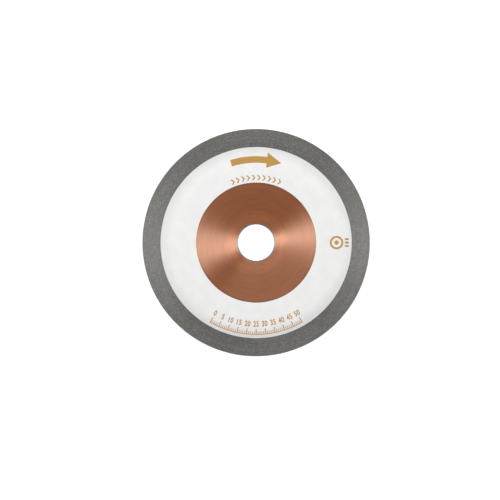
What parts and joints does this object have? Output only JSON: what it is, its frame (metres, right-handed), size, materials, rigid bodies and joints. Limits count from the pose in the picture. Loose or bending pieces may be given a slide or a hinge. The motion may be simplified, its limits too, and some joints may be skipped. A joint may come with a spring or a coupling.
{
  "type": "cbn cutting wheel",
  "caption": "Thin round cutting wheel: a grey abrasive rim on a copper-coloured turned core with a plain bore, white lacquered between the flange seat and the rim.",
  "frame": {"origin": "centre of the bore, at half the width of the wheel", "axes": "+Z along the wheel's axis, out of the marked face; +X towards the ring-and-dot mark, +Y towards the arrow"},
  "size_m": [0.125, 0.125, 0.0016],
  "materials": {
    "core_disc": "steel with a copper-coloured plating, finely turned on the flange seats",
    "abrasive_rim": "matt grey resin bond full of fine dark and pale grit, size 126 micrometres",
    "coat": "white lacquer, silk gloss",
    "ink": "gold-ochre printed ink"
  },
  "bodies": {
    "root": {"core_disc": "core_disc", "abrasive_rim": "abrasive_rim", "front_coat": "coat", "back_coat": "coat", "front_marking": "ink"}
  },
  "joints": []
}
